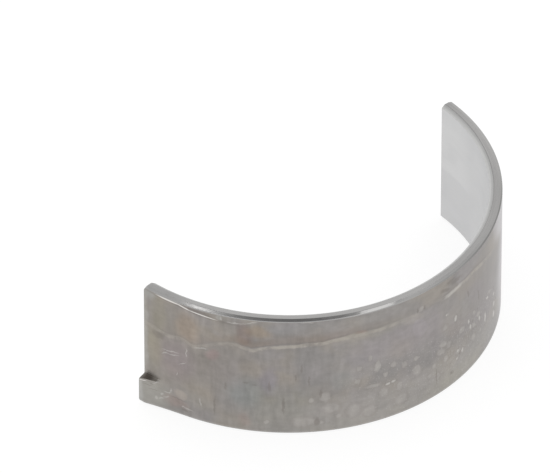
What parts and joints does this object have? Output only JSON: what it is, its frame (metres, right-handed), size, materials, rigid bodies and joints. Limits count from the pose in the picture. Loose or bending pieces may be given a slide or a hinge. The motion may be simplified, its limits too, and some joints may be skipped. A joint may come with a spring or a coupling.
{
  "type": "engine bearing shell",
  "caption": "Half shell of a plain engine bearing: a thin steel arc with a smooth lined bore, bevelled edges and a pressed locating tang at one end.",
  "frame": {"origin": "on the bearing axis, level with the axial edge that the shell stands on", "axes": "+Z along the bearing axis, up from the standing edge; the crown of the arc points to -Y, the open side to +Y, and the tang is at the -X end"},
  "size_m": [0.0596, 0.0274, 0.0199],
  "materials": {
    "lined_steel": "satin steel back with brown and violet heat patina and small stains, pale smooth lining in the bore"
  },
  "bodies": {
    "root": {"bearing_shell": "lined_steel"}
  },
  "joints": []
}
